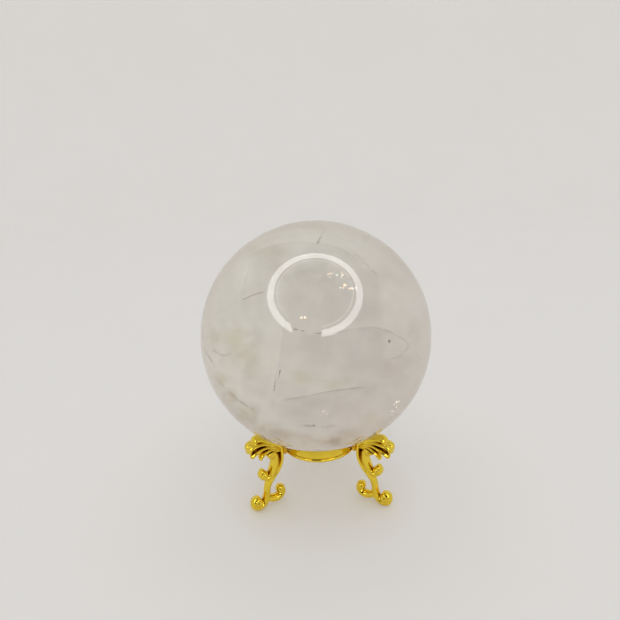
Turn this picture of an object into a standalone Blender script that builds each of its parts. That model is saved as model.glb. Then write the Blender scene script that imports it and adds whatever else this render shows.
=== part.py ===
"""Natural crystal ball on a gilt three-legged scroll stand, for Blender 4.5.

The ball lies loose in a shallow turned ring. Three cast scroll legs are soldered to the ring, and each
leg carries a fanned leaf that follows the underside of the ball. Lengths are millimetres times MM. The
stand's axis is the world's Z axis, the table is z = 0 and the front is -Y.
"""

import math

import bmesh
import bpy
from mathutils import Matrix, Vector

MM = 0.001
GAP = 0.3

BALL_RADIUS = 40.0
BALL_CENTRE_HEIGHT = 62.5
BALL_SEGMENTS = 56
BALL_RINGS = 28

RING_OUTER_RADIUS = 14.2
RING_WALL = 1.5
RING_BOTTOM = 19.2
RING_LIP_HEIGHT = 1.1
RING_WAIST_HEIGHT = 2.2
RING_WAIST_DEPTH = 0.35
RING_EDGE = 0.3
RING_STEPS = 48
RING_MERGE = 0.00001

# Each leg's place and its angle from +X.
LEGS = (("right", -30.0), ("back", 90.0), ("left", 210.0))

SECTION_SIDES = 8
STATIONS_PER_SPAN = 2
EYE_SEGMENTS = 12
EYE_RINGS = 8
DOME_ANGLES = (math.radians(40), math.radians(72))
FLOOR_CUTTER_LOWER = (0, -12, -12)
FLOOR_CUTTER_UPPER = (40, 12, 0)
SMOOTH_BELOW = math.radians(40)

# The solder between the ring and a leg along +X.
SOLDER_LOWER = (14.5, -1.9, 20.0)
SOLDER_UPPER = (15.6, 1.9, 23.2)
SOLDER_ROUNDING = 0.35

# Each bar of a leg is a row of stations: distance from the stand's axis, offset across the leg,
# height, half thickness and half width, in millimetres.
BACK_STRIP = (
    (16.8, 0, 23.6, 0.8, 2.0),
    (16.8, 0, 20.6, 0.8, 2.7),
    (17.3, 0, 17.6, 0.8, 2.8),
    (18.7, 0, 14.6, 0.9, 2.6),
    (20.7, 0, 12.0, 1.1, 2.2),
    (22.2, 0, 9.6, 1.2, 1.8),
    (22.9, 0, 7.2, 1.2, 1.6),
    (23.2, 0, 4.8, 1.3, 1.6),
    (24.2, 0, 2.2, 1.3, 1.7),
    (26.4, 0, 0.9, 1.3, 1.9),
    (28.3, 0, 1.9, 1.2, 1.9),
    (28.4, 0, 3.9, 1.1, 1.9),
    (26.9, 0, 4.5, 1.1, 1.9),
)
FRONT_STRIP = (
    (20.4, 0, 21.7, 1.1, 1.9),
    (19.4, 0, 21.3, 1.2, 2.0),
    (19.0, 0, 19.8, 1.2, 2.2),
    (19.3, 0, 17.4, 1.4, 2.3),
    (20.2, 0, 14.8, 1.4, 2.1),
    (21.6, 0, 12.9, 1.1, 1.9),
    (23.6, 0, 12.5, 1.0, 1.9),
    (25.0, 0, 13.8, 1.0, 1.9),
    (24.3, 0, 15.2, 1.0, 1.8),
)
INNER_CURL = (
    (23.8, 0, 3.4, 1.2, 1.6),
    (22.2, 0, 3.0, 1.3, 1.6),
    (20.4, 0, 2.3, 1.4, 1.7),
    (18.4, 0, 2.4, 1.4, 1.8),
    (16.9, 0, 3.8, 1.2, 1.8),
    (17.0, 0, 5.7, 1.1, 1.7),
    (18.0, 0, 6.0, 1.1, 1.7),
)
CREST = (
    (17.0, 0, 23.0, 1.0, 1.6),
    (18.2, 0, 24.8, 1.0, 1.8),
    (20.6, 0, 26.3, 1.0, 1.8),
    (23.0, 0, 27.4, 1.1, 1.8),
    (24.9, 0, 28.1, 1.3, 1.9),
)
# The fingers on one side of the leaf, from its tip back to its root. The other side mirrors them.
LEAF_FINGERS = (
    (
        (20.8, 0.6, 25.8, 1.0, 1.4),
        (24.2, 1.0, 26.7, 1.2, 1.4),
        (27.0, 1.1, 26.5, 1.3, 1.3),
        (28.4, 1.1, 25.1, 1.3, 1.3),
    ),
    (
        (19.6, 0.8, 24.9, 1.0, 1.4),
        (22.8, 1.4, 25.4, 1.1, 1.4),
        (25.8, 1.6, 25.1, 1.2, 1.3),
        (27.8, 1.6, 23.8, 1.2, 1.3),
    ),
    (
        (18.6, 1.0, 24.2, 1.0, 1.4),
        (21.4, 1.8, 24.5, 1.1, 1.3),
        (24.2, 2.1, 23.9, 1.1, 1.2),
        (25.8, 2.1, 22.7, 1.0, 1.1),
    ),
    (
        (18.0, 1.0, 23.3, 1.0, 1.4),
        (20.2, 1.8, 23.8, 1.0, 1.3),
        (22.2, 2.1, 23.5, 1.0, 1.2),
        (23.7, 2.1, 22.6, 0.9, 1.0),
    ),
)
# The round eye that each curl closes on: its centre, its radius in the leg's plane and its half width.
CURL_EYES = (
    ((26.8, 0, 3.0), 1.7, 2.3),
    ((23.9, 0, 14.0), 1.5, 2.2),
    ((17.9, 0, 5.3), 1.4, 2.0),
    ((20.7, 0, 20.8), 1.5, 2.2),
)


def point(radial, across, height):
    return Vector((radial, across, height)) * MM


def new_collection(name, hidden=False):
    collection = bpy.data.collections.new(name)
    bpy.context.scene.collection.children.link(collection)
    collection.hide_render = hidden
    return collection


def link(collection, name, mesh, material=None):
    obj = bpy.data.objects.new(name, mesh)
    collection.objects.link(obj)
    if material:
        mesh.materials.clear()
        mesh.materials.append(material)
    return obj


def finished(bm, name):
    """The bmesh's faces turned outwards and stored as a mesh."""
    bmesh.ops.recalc_face_normals(bm, faces=bm.faces)
    mesh = bpy.data.meshes.new(name)
    bm.to_mesh(mesh)
    bm.free()
    return mesh


def make_material(name, colour, roughness, metallic, transmission=0.0, ior=1.5):
    material = bpy.data.materials.new(name)
    material.use_nodes = True
    material.diffuse_color = (*colour, 1.0)
    shader = material.node_tree.nodes["Principled BSDF"]
    shader.inputs["Base Color"].default_value = (*colour, 1.0)
    shader.inputs["Roughness"].default_value = roughness
    shader.inputs["Metallic"].default_value = metallic
    shader.inputs["Transmission Weight"].default_value = transmission
    shader.inputs["IOR"].default_value = ior
    return material


def catmull_rom(rows, steps):
    """A smooth run through the rows of numbers, with this many new rows for each span."""
    padded = [rows[0], *rows, rows[-1]]
    smooth = []
    for before, start, end, after in zip(padded, padded[1:], padded[2:], padded[3:]):
        for step in range(steps):
            t = step / steps
            smooth.append(
                tuple(
                    0.5 * (2 * b + (c - a) * t + (2 * a - 5 * b + 4 * c - d) * t**2
                           + (3 * b - a - 3 * c + d) * t**3)
                    for a, b, c, d in zip(before, start, end, after)
                )
            )
    return [*smooth, tuple(rows[-1])]


def rounded_ends(rows):
    """The rows with a short dome added at each end."""
    first, last = Vector(rows[0][:3]), Vector(rows[-1][:3])
    out_first = (first - Vector(rows[1][:3])).normalized()
    out_last = (last - Vector(rows[-2][:3])).normalized()

    def dome(row, outwards, angle):
        centre = Vector(row[:3]) + outwards * row[3] * math.sin(angle)
        return (*centre, row[3] * math.cos(angle), row[4] * math.cos(angle))

    start = [dome(rows[0], out_first, angle) for angle in reversed(DOME_ANGLES)]
    end = [dome(rows[-1], out_last, angle) for angle in DOME_ANGLES]
    return [*start, *rows, *end]


def make_bar(collection, name, stations, side=1):
    """A bar with an oval section that changes along its length, which no curve bevel gives."""
    rows = rounded_ends(catmull_rom(stations, STATIONS_PER_SPAN))
    centres = [point(row[0], side * row[1], row[2]) for row in rows]
    bm = bmesh.new()
    loops = []
    for i, row in enumerate(rows):
        along = (centres[min(i + 1, len(rows) - 1)] - centres[max(i - 1, 0)]).normalized()
        across = (Vector((0, 1, 0)) - along * along.y).normalized()
        normal = along.cross(across)
        loop = []
        for k in range(SECTION_SIDES):
            angle = 2 * math.pi * k / SECTION_SIDES
            offset = across * row[4] * math.cos(angle) + normal * row[3] * math.sin(angle)
            loop.append(bm.verts.new(centres[i] + offset * MM))
        loops.append(loop)
    for near, far in zip(loops, loops[1:]):
        for k in range(SECTION_SIDES):
            j = (k + 1) % SECTION_SIDES
            bm.faces.new((near[k], near[j], far[j], far[k]))
    bm.faces.new(reversed(loops[0]))
    bm.faces.new(loops[-1])
    return link(collection, name, finished(bm, name))


def make_eye(collection, centre, radius, half_width):
    bm = bmesh.new()
    bmesh.ops.create_uvsphere(bm, u_segments=EYE_SEGMENTS, v_segments=EYE_RINGS, radius=MM)
    bmesh.ops.rotate(bm, matrix=Matrix.Rotation(math.radians(90), 3, "X"), verts=bm.verts)
    bmesh.ops.scale(bm, vec=(radius, half_width, radius), verts=bm.verts)
    bmesh.ops.translate(bm, vec=point(*centre), verts=bm.verts)
    return link(collection, "curl_eye", finished(bm, "curl_eye"))


def make_box(collection, name, lower, upper):
    bm = bmesh.new()
    bmesh.ops.create_cube(bm, size=1.0)
    size = Vector(upper) - Vector(lower)
    middle = (Vector(upper) + Vector(lower)) / 2
    bmesh.ops.scale(bm, vec=size, verts=bm.verts)
    bmesh.ops.translate(bm, vec=middle, verts=bm.verts)
    bmesh.ops.scale(bm, vec=Vector((MM, MM, MM)), verts=bm.verts)
    return link(collection, name, finished(bm, name))


def add_boolean(obj, operation, other):
    modifier = obj.modifiers.new(operation.title(), "BOOLEAN")
    modifier.operation = operation
    modifier.solver = "EXACT"
    if isinstance(other, bpy.types.Collection):
        modifier.operand_type = "COLLECTION"
        modifier.collection = other
    else:
        modifier.object = other
    return modifier


def make_leg_mesh(helpers):
    """One cast leg along +X: two strips, the inner curl and the leaf joined, with its foot cut flat."""
    bars = bpy.data.collections.new("leg_bars")
    helpers.children.link(bars)
    spine = make_bar(helpers, "back_strip", BACK_STRIP)
    make_bar(bars, "front_strip", FRONT_STRIP)
    make_bar(bars, "inner_curl", INNER_CURL)
    make_bar(bars, "crest", CREST)
    for number, finger in enumerate(LEAF_FINGERS):
        for side in (-1, 1):
            make_bar(bars, f"leaf_finger_{number}", finger, side)
    for centre, radius, half_width in CURL_EYES:
        make_eye(bars, centre, radius, half_width)
    floor = make_box(helpers, "floor_cutter", FLOOR_CUTTER_LOWER, FLOOR_CUTTER_UPPER)
    union = add_boolean(spine, "UNION", bars)
    union.use_self = True
    add_boolean(spine, "DIFFERENCE", floor)
    graph = bpy.context.evaluated_depsgraph_get()
    mesh = bpy.data.meshes.new_from_object(spine.evaluated_get(graph))
    for helper in [*bars.objects, spine, floor]:
        bpy.data.objects.remove(helper)
    bpy.data.collections.remove(bars)
    mesh.name = "leg"
    return mesh


def shade(obj):
    obj.data.shade_smooth()
    obj.data.set_sharp_from_angle(angle=SMOOTH_BELOW)


def make_ball(parts, material):
    bm = bmesh.new()
    bmesh.ops.create_uvsphere(
        bm, u_segments=BALL_SEGMENTS, v_segments=BALL_RINGS, radius=BALL_RADIUS * MM
    )
    ball = link(parts, "crystal_ball", finished(bm, "crystal_ball"), material)
    ball.location = point(0, 0, BALL_CENTRE_HEIGHT)
    shade(ball)
    return ball


def ball_height(radius, clearance=0.0):
    """The height of the ball's underside at this distance from the axis."""
    return BALL_CENTRE_HEIGHT - math.sqrt((BALL_RADIUS + clearance) ** 2 - radius**2)


def make_ring(parts, material):
    """A turned band with a rolled lower lip and a conical seat that follows the ball."""
    outer = RING_OUTER_RADIUS
    inner = RING_OUTER_RADIUS - RING_WALL
    bottom = RING_BOTTOM
    lip_top = RING_BOTTOM + RING_LIP_HEIGHT
    waist = outer - RING_WAIST_DEPTH
    profile = [
        (inner, ball_height(inner, GAP) - RING_EDGE),
        (inner + RING_EDGE, ball_height(inner + RING_EDGE, GAP)),
        (outer - RING_EDGE, ball_height(outer - RING_EDGE, GAP)),
        (outer, ball_height(outer, GAP) - RING_EDGE),
        (waist, bottom + RING_WAIST_HEIGHT),
        (waist, lip_top + RING_EDGE),
        (outer, lip_top - RING_EDGE),
        (outer, bottom + RING_EDGE),
        (outer - RING_EDGE, bottom),
        (inner + RING_EDGE, bottom),
        (inner, bottom + RING_EDGE),
    ]
    bm = bmesh.new()
    corners = [bm.verts.new(point(radius, 0, height)) for radius, height in profile]
    for a, b in zip(corners, corners[1:] + corners[:1]):
        bm.edges.new((a, b))
    mesh = bpy.data.meshes.new("stand_ring")
    bm.to_mesh(mesh)
    bm.free()
    ring = link(parts, "stand_ring", mesh, material)
    screw = ring.modifiers.new("Turn", "SCREW")
    screw.steps = RING_STEPS
    screw.render_steps = RING_STEPS
    screw.use_merge_vertices = True
    screw.merge_threshold = RING_MERGE
    return ring


def make_solder(parts, place, angle, material):
    solder = make_box(parts, f"solder_{place}", SOLDER_LOWER, SOLDER_UPPER)
    solder.data.materials.append(material)
    solder.rotation_euler.z = math.radians(angle)
    bevel = solder.modifiers.new("Rounding", "BEVEL")
    bevel.width = SOLDER_ROUNDING * MM
    bevel.segments = 2
    return solder


def main():
    for obj in list(bpy.data.objects):
        bpy.data.objects.remove(obj)
    parts = new_collection("crystal_ball_on_stand")
    helpers = new_collection("cutters", hidden=True)
    quartz = make_material("quartz", (0.82, 0.78, 0.76), 0.03, 0.0, 0.9, 1.54)
    gilt = make_material("gilt_metal", (0.90, 0.62, 0.12), 0.16, 1.0)
    solder = make_material("gilt_solder", (0.78, 0.45, 0.10), 0.30, 1.0)
    make_ball(parts, quartz)
    make_ring(parts, gilt)
    leg_mesh = make_leg_mesh(helpers)
    for place, angle in LEGS:
        leg = link(parts, f"leg_{place}", leg_mesh.copy(), gilt)
        leg.rotation_euler.z = math.radians(angle)
        shade(leg)
        make_solder(parts, place, angle, solder)
    bpy.data.meshes.remove(leg_mesh)


main()
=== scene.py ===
"""The looks of a cloudy quartz ball on a gilt scroll stand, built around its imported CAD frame."""

import math
import random

import bmesh
import bpy
from mathutils import Matrix, Vector, noise


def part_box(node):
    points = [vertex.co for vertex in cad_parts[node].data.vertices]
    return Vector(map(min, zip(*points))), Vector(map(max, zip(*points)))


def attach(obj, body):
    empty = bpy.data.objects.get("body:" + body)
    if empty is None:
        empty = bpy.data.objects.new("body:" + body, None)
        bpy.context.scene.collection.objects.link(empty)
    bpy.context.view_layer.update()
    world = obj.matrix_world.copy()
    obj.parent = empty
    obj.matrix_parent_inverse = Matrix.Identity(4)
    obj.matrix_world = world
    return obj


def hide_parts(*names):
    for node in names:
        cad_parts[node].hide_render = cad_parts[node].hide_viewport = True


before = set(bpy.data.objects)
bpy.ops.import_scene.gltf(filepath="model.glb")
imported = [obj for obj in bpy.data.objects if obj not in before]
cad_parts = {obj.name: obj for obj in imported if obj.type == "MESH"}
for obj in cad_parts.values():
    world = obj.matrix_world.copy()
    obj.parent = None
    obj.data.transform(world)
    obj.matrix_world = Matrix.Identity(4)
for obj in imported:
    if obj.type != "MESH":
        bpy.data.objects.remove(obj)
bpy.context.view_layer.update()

MM = 0.001

BALL_LOW, BALL_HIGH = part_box("crystal_ball")
BALL_CENTRE = (BALL_LOW + BALL_HIGH) / 2
BALL_RADIUS = (BALL_HIGH.z - BALL_LOW.z) / 2
BALL_SUBDIVISIONS = 7

# The camera looks down at the ball from the front. Its distance is from the ball's centre.
CAMERA_ELEVATION = math.radians(20.8)
CAMERA_AZIMUTH = math.radians(-1.0)
CAMERA_DISTANCE = 4.44 * BALL_RADIUS
CAMERA_AIM = Vector((-1.7 * MM, 0, 71.8 * MM))
CAMERA_ROLL = math.radians(-2.0)
CAMERA_LENS = 29.0
CAMERA_SENSOR = 36.0

# The studio, in metres.
FLOOR_RADIUS = 0.75
FLOOR_BEND = 0.35
WALL_TOP = 1.1
SWEEP_STEPS = 96
BEND_STEPS = 12
SWEEP_WHITE = (0.80, 0.79, 0.78)
SWEEP_GLOW = 0.12
SWEEP_GLOW_COLOUR = (1.0, 0.985, 0.96, 1.0)
SOFT_BOX_PLACE = Vector((0.05, -0.45, 0.85))
SOFT_BOX_SIZE = 0.7
SOFT_BOX_POWER = 0.6
WORLD_COLOUR = (1.0, 0.99, 0.975)
WORLD_STRENGTH = 0.72

# The ring light and the dim shapes round it, which the ball and the gilt mirror.
RING_LIGHT_ELEVATION = math.radians(58.8)
RING_LIGHT_AIM = Vector((0, -math.cos(RING_LIGHT_ELEVATION), math.sin(RING_LIGHT_ELEVATION)))
RING_LIGHT_DISTANCE = 0.29
RING_LIGHT_RADIUS = 0.222
RING_LIGHT_HALF_BAND = 0.024
RING_LIGHT_STRENGTH = 5.3
RING_LIGHT_STEPS = 120
# The ring is broken at the bottom, between these places left and right of its middle.
RING_LIGHT_GAP = (-0.132, 0.026)
LIGHT_RIM_RADIUS = 0.178
LIGHT_RIM_HALF_BAND = 0.002
LIGHT_RIM_STRENGTH = 3.5
HOLDER_RADIUS = 0.17
HOLDER_SETBACK = 0.01
DIM_ROOM_PLACE = Vector((-0.03, -0.50, 0.38))
DIM_ROOM_RADIUS = 0.42
DIM_COLOUR = (0.03, 0.025, 0.02, 1)

# The sockets of a colour Mix node.
MIX_FACTOR, MIX_FIRST, MIX_SECOND = 0, 6, 7
MIX_RESULT = 2

# Where each leg stands round the axis, in degrees.
LEG_ANGLES = {"leg_right": -30.0, "leg_back": 90.0, "leg_left": 210.0}
# The leaves were bent a little by hand: how far each tip is raised, in millimetres. The bend
# starts this far out from the stand's axis and this far up, and is full after these lengths.
LEAF_LIFTS = {"leg_right": -0.8, "leg_back": 0.0, "leg_left": 1.2}
LEAF_BEND_START = (18.0, 18.5)
LEAF_BEND_LENGTH = (9.0, 3.0)

# Each bar of a leg is a row of stations: distance from the stand's axis, offset across the leg,
# height, half thickness and half width, in millimetres.
BACK_STRIP = (
    (16.8, 0, 23.6, 0.8, 2.0),
    (16.8, 0, 20.6, 0.8, 2.7),
    (17.3, 0, 17.6, 0.8, 2.8),
    (18.7, 0, 14.6, 0.9, 2.6),
    (20.7, 0, 12.0, 1.1, 2.2),
    (22.2, 0, 9.6, 1.2, 1.8),
    (22.9, 0, 7.2, 1.2, 1.6),
    (23.2, 0, 4.8, 1.3, 1.6),
    (24.2, 0, 2.2, 1.3, 1.7),
    (26.4, 0, 1.1, 1.1, 1.9),
    (28.3, 0, 1.9, 1.2, 1.9),
    (28.4, 0, 3.9, 1.1, 1.9),
    (26.9, 0, 4.5, 1.1, 1.9),
)
FRONT_STRIP = (
    (20.4, 0, 21.7, 1.1, 1.9),
    (19.4, 0, 21.3, 1.2, 2.0),
    (19.0, 0, 19.8, 1.2, 2.2),
    (19.3, 0, 17.4, 1.4, 2.3),
    (20.2, 0, 14.8, 1.4, 2.1),
    (21.6, 0, 12.9, 1.1, 1.9),
    (23.6, 0, 12.5, 1.0, 1.9),
    (25.0, 0, 13.8, 1.0, 1.9),
    (24.3, 0, 15.2, 1.0, 1.8),
)
INNER_CURL = (
    (23.8, 0, 3.4, 1.2, 1.6),
    (22.2, 0, 3.0, 1.3, 1.6),
    (20.4, 0, 2.3, 1.4, 1.7),
    (18.4, 0, 2.4, 1.4, 1.8),
    (16.9, 0, 3.8, 1.2, 1.8),
    (17.0, 0, 5.7, 1.1, 1.7),
    (18.0, 0, 6.0, 1.1, 1.7),
)
CREST = (
    (17.0, 0, 23.0, 1.0, 1.6),
    (18.2, 0, 24.8, 1.0, 1.9),
    (20.4, 0, 26.2, 1.0, 2.1),
    (22.8, 0, 27.3, 1.0, 2.2),
    (25.0, 0, 28.0, 1.0, 2.2),
    (26.5, 0, 27.6, 0.9, 2.0),
    (26.6, 0, 26.7, 0.7, 1.8),
)
# One side's fingers of the leaf, from the top down. The other side mirrors them.
LEAF_FINGERS = (
    (
        (19.4, 0.7, 24.9, 0.55, 1.3),
        (22.0, 1.1, 26.0, 0.60, 1.4),
        (24.8, 1.3, 26.4, 0.60, 1.4),
        (27.2, 1.4, 26.2, 0.65, 1.4),
        (28.7, 1.3, 25.5, 0.75, 1.4),
        (29.0, 1.2, 24.6, 0.70, 1.3),
    ),
    (
        (19.0, 0.9, 24.2, 0.50, 1.3),
        (21.4, 1.3, 24.9, 0.55, 1.4),
        (23.6, 1.6, 24.9, 0.55, 1.4),
        (25.6, 1.8, 24.4, 0.60, 1.4),
        (27.3, 1.8, 23.6, 0.70, 1.4),
        (28.4, 1.7, 22.8, 0.80, 1.3),
    ),
    (
        (18.0, 0.9, 23.3, 0.50, 1.2),
        (20.2, 1.4, 23.9, 0.50, 1.4),
        (22.0, 1.7, 23.8, 0.55, 1.4),
        (23.6, 1.9, 23.1, 0.60, 1.4),
        (24.8, 1.9, 22.1, 0.70, 1.4),
        (25.4, 1.8, 21.3, 0.75, 1.3),
    ),
    (
        (17.6, 0.9, 22.4, 0.50, 1.2),
        (19.6, 1.3, 22.9, 0.50, 1.3),
        (21.2, 1.6, 22.6, 0.50, 1.3),
        (22.6, 1.7, 21.9, 0.60, 1.2),
    ),
)
# A narrow web joins each mirrored pair of fingers. It is this many times as thick as they are.
WEB_THICKENING = 1.5
WEB_HALF_WIDTH = 0.8
# The eye in the middle of each curl: its centre, radius and half width, in millimetres.
CURL_EYES = (
    ((26.8, 0, 3.0), 1.7, 2.3),
    ((23.9, 0, 14.0), 1.5, 2.2),
    ((17.9, 0, 5.3), 1.4, 2.0),
    ((20.7, 0, 20.8), 1.5, 2.2),
)
BAR_SIDES = 20
BAR_STEPS = 6
# The rings of the dome at a bar's end, in degrees from its rim to its tip.
BAR_END_ANGLES = (20, 40, 58, 74, 84)
EYE_SEGMENTS = 32
EYE_RINGS = 20
LEG_VOXEL = 0.13 * MM
LEG_SOFTENING_PASSES = 7

# The ring, in millimetres. Its clearance is the gap to the ball, and its foot has a rolled lip.
RING_WALL = 1.5
RING_CLEARANCE = 0.3
RING_STEPS = 144
RING_SHARP_ANGLE = math.radians(50)
ROLL_RADIUS = 0.62
ROLL_STEPS = 8

# Each lump of solder, in millimetres. It widens towards the leg by its splay.
SOLDER_PLACE = Vector((15.1, 0, 21.4))
SOLDER_HALF_SIZES = (1.25, 2.3, 1.75)
SOLDER_SPLAY = 0.5
SOLDER_LUMPS = 0.14
SOLDER_LUMP_SCALE = 1.7

# Paints of the metals: bright, and deep red for the painted shade in the hollows.
GOLD = ((0.90, 0.665, 0.06), (0.30, 0.09, 0.01))
SOLDER = ((0.80, 0.52, 0.06), (0.32, 0.09, 0.01))
GOLD_ROUGHNESS = 0.05
SOLDER_ROUGHNESS = 0.14
# Worn places are darker by the first and rougher by the second.
WORN_SHADE = 0.93
WORN_ROUGHNESS = 0.07
# The painted shade in the hollows darkens where more of the metal lies within this reach.
HOLLOW_REACH = 1.3 * MM
RIPPLE_DEPTH = 0.02 * MM

# The stone's tint runs from green through grey to rose along this direction, down to the right.
TINT_LEAN = (0.42, 0.0, -0.90)
TINT_GREEN = (1.0, 1.0, 0.92)
TINT_GREY = (0.95, 0.93, 0.885)
TINT_ROSE = (0.85, 0.79, 0.735)
TINT_STREAK = (0.95, 0.93, 0.90)
# A painted brown shade, laid on where the surface is seen edge on, towards the ball's rim.
RIM_SHADE_PAINT = (0.915, 0.83, 0.755)
QUARTZ_IOR = 1.54

# The edges that the veils in the stone spread from, in ball radii: right, up and near.
UPPER_EDGE = (
    (-0.38, 0.50, 0.0), (-0.27, 0.53, 0.0), (-0.12, 0.55, 0.0), (0.02, 0.54, 0.0),
    (0.14, 0.51, 0.0), (0.22, 0.47, 0.0), (0.32, 0.39, 0.0), (0.39, 0.31, 0.0),
)
MIDDLE_EDGE = (
    (-0.13, 0.03, 0.0), (-0.01, 0.0, 0.0), (0.17, 0.02, 0.0), (0.34, 0.03, 0.0),
    (0.45, -0.01, 0.0), (0.54, -0.07, 0.0),
)
LOWER_EDGE = (
    (-0.26, -0.38, 0.0), (-0.18, -0.36, 0.0), (-0.08, -0.35, 0.0), (0.02, -0.33, 0.0),
    (0.12, -0.32, 0.0), (0.25, -0.31, 0.0), (0.40, -0.30, 0.0),
)
SIDE_EDGE = (
    (-0.17, 0.30, 0.14), (-0.18, 0.09, 0.14), (-0.20, -0.02, 0.14), (-0.23, -0.17, 0.14),
    (-0.27, -0.30, 0.14), (-0.32, -0.48, 0.14),
)
CORNER_EDGE = (
    (-0.36, 0.53, 0.10), (-0.38, 0.46, 0.10), (-0.42, 0.36, 0.10), (-0.46, 0.16, 0.10),
)
# The side's haze starts this far left of the side veil's edge, and this far behind it.
HAZE_LEFT = 0.10
HAZE_BACK = 0.30
VEIL_BODY = "veil_body"
VEIL_STEPS = 12
VEIL_ROWS = 40
VEIL_WAVES = (3.0, 2.0)
VEIL_BELLY = 0.3
# Stands in for the light that the bubbles of a white veil scatter forwards.
MILK_GLOW = 0.30

# A haze all through the stone is one layer at this share of the ball's radius.
HAZE_RADIUS = 0.90
HAZE_SUBDIVISIONS = 6
HAZE_WAVINESS = 0.04
HAZE_WAVE_SCALE = 60
HAZE_SEED = 5.0

# Small stains and bubbly patches: kind, where each shows on the ball's face (right and up), and
# half sizes, in ball radii. Each lies a little nearer than the one before, so that none cross.
PATCHES = (
    ("straw", (-0.73, -0.01), (0.20, 0.11)),
    ("straw", (-0.60, -0.15), (0.16, 0.12)),
    ("straw", (-0.90, -0.04), (0.08, 0.16)),
    ("straw", (-0.56, -0.30), (0.12, 0.10)),
    ("straw", (-0.14, -0.38), (0.20, 0.12)),
    ("straw", (-0.42, 0.73), (0.22, 0.07)),
    ("straw", (0.18, -0.43), (0.22, 0.07)),
    ("rust", (-0.83, -0.38), (0.06, 0.08)),
    ("rust", (-0.74, -0.53), (0.08, 0.09)),
    ("rust", (-0.62, -0.69), (0.14, 0.12)),
    ("rust", (-0.45, -0.82), (0.21, 0.11)),
    ("rust", (-0.28, -0.88), (0.18, 0.08)),
    ("rust", (-0.05, -0.91), (0.21, 0.08)),
    ("rust", (0.15, -0.92), (0.14, 0.07)),
    ("rust", (0.30, -0.87), (0.16, 0.09)),
    ("rust", (0.48, -0.76), (0.17, 0.10)),
    ("stain", (-0.72, -0.54), (0.05, 0.06)),
    ("stain", (-0.58, -0.70), (0.12, 0.08)),
    ("stain", (-0.45, -0.81), (0.17, 0.09)),
    ("stain", (-0.30, -0.87), (0.17, 0.06)),
    ("stain", (-0.08, -0.91), (0.10, 0.05)),
    ("stain", (0.11, -0.92), (0.12, 0.05)),
    ("stain", (0.16, -0.92), (0.07, 0.04)),
    ("stain", (0.27, -0.87), (0.15, 0.06)),
    ("milk", (-0.89, 0.12), (0.05, 0.13)),
    ("milk", (-0.79, -0.30), (0.12, 0.13)),
    ("milk", (-0.62, -0.47), (0.20, 0.12)),
    ("milk", (-0.46, -0.56), (0.16, 0.08)),
    ("milk", (0.91, -0.22), (0.06, 0.20)),
    ("rose", (0.74, -0.22), (0.20, 0.09)),
    ("rose", (0.52, -0.31), (0.24, 0.09)),
    ("rose", (0.40, -0.14), (0.20, 0.12)),
    ("rose", (0.52, 0.47), (0.14, 0.13)),
    ("rose", (0.87, 0.0), (0.07, 0.20)),
)
PATCH_FARTHEST = 0.17
PATCH_STEP = 0.0085
PATCH_RINGS = 8
PATCH_SIDES = 28
PATCH_RAGGEDNESS = 0.45
PATCH_RAG_SCALE = 1.6
PATCH_SEED = 101.3

# Each crack: its path (right, up and near, in ball radii) and its greatest width in millimetres.
CRACKS = (
    (((-0.43, 0.21, 0.0), (-0.36, 0.24, 0.0), (-0.29, 0.26, 0.0)), 0.08),
    (((-0.13, 0.04, 0.0), (-0.01, 0.01, 0.0), (0.05, 0.01, 0.0)), 0.10),
    (((0.13, 0.01, 0.0), (0.24, 0.03, 0.0), (0.34, 0.03, 0.0), (0.43, 0.0, 0.0)), 0.05),
    (((0.43, 0.0, 0.0), (0.51, -0.05, 0.0), (0.53, -0.08, 0.0)), 0.07),
    (((0.53, -0.09, 0.0), (0.48, -0.14, 0.0), (0.40, -0.16, 0.0)), 0.05),
    (((0.05, 0.57, 0.0), (0.09, 0.64, 0.0), (0.13, 0.70, 0.0)), 0.05),
    (((0.03, 0.53, 0.0), (0.05, 0.57, 0.0)), 0.24),
    (((-0.21, -0.19, 0.0), (-0.22, -0.23, 0.0)), 0.15),
    (((-0.24, -0.26, 0.0), (-0.25, -0.31, 0.0)), 0.17),
    (((-0.26, -0.38, 0.0), (-0.08, -0.35, 0.0), (0.12, -0.32, 0.0), (0.40, -0.30, 0.0)), 0.045),
    (((-0.72, 0.05, 0.0), (-0.69, -0.06, 0.0), (-0.65, -0.11, 0.0), (-0.61, -0.16, 0.0)), 0.17),
    (((0.58, -0.12, 0.0), (0.65, -0.21, 0.0), (0.63, -0.31, 0.0)), 0.09),
    (((-0.61, -0.24, 0.0), (-0.46, -0.37, 0.0), (-0.34, -0.44, 0.0)), 0.13),
    (((-0.42, -0.21, 0.0), (-0.39, -0.23, 0.0), (-0.34, -0.21, 0.0)), 0.06),
    (((0.06, -0.08, 0.0), (0.07, -0.11, 0.0)), 0.06),
    (((-0.18, 0.13, 0.0), (-0.17, 0.08, 0.0)), 0.08),
    (((-0.62, -0.06, 0.0), (-0.55, -0.10, 0.0), (-0.49, -0.09, 0.0)), 0.05),
    (((0.21, 0.50, 0.0), (0.29, 0.42, 0.0), (0.37, 0.33, 0.0)), 0.05),
)
CRACK_STEPS = 14
CRACK_SEED = 31
# A crack is broken at this share of its steps. Its slivers stray and vary by shares of its width,
# and are this many times as deep as they are wide.
CRACK_GAP_CHANCE = 0.14
SLIVER_STRAY = 0.6
SLIVER_WIDTHS = (0.25, 1.0)
SLIVER_DEPTH = 2.0
SLIVER_CORNERS = ((-0.5, 0), (0, -0.5), (0.5, 0), (0, 0.5))
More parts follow.
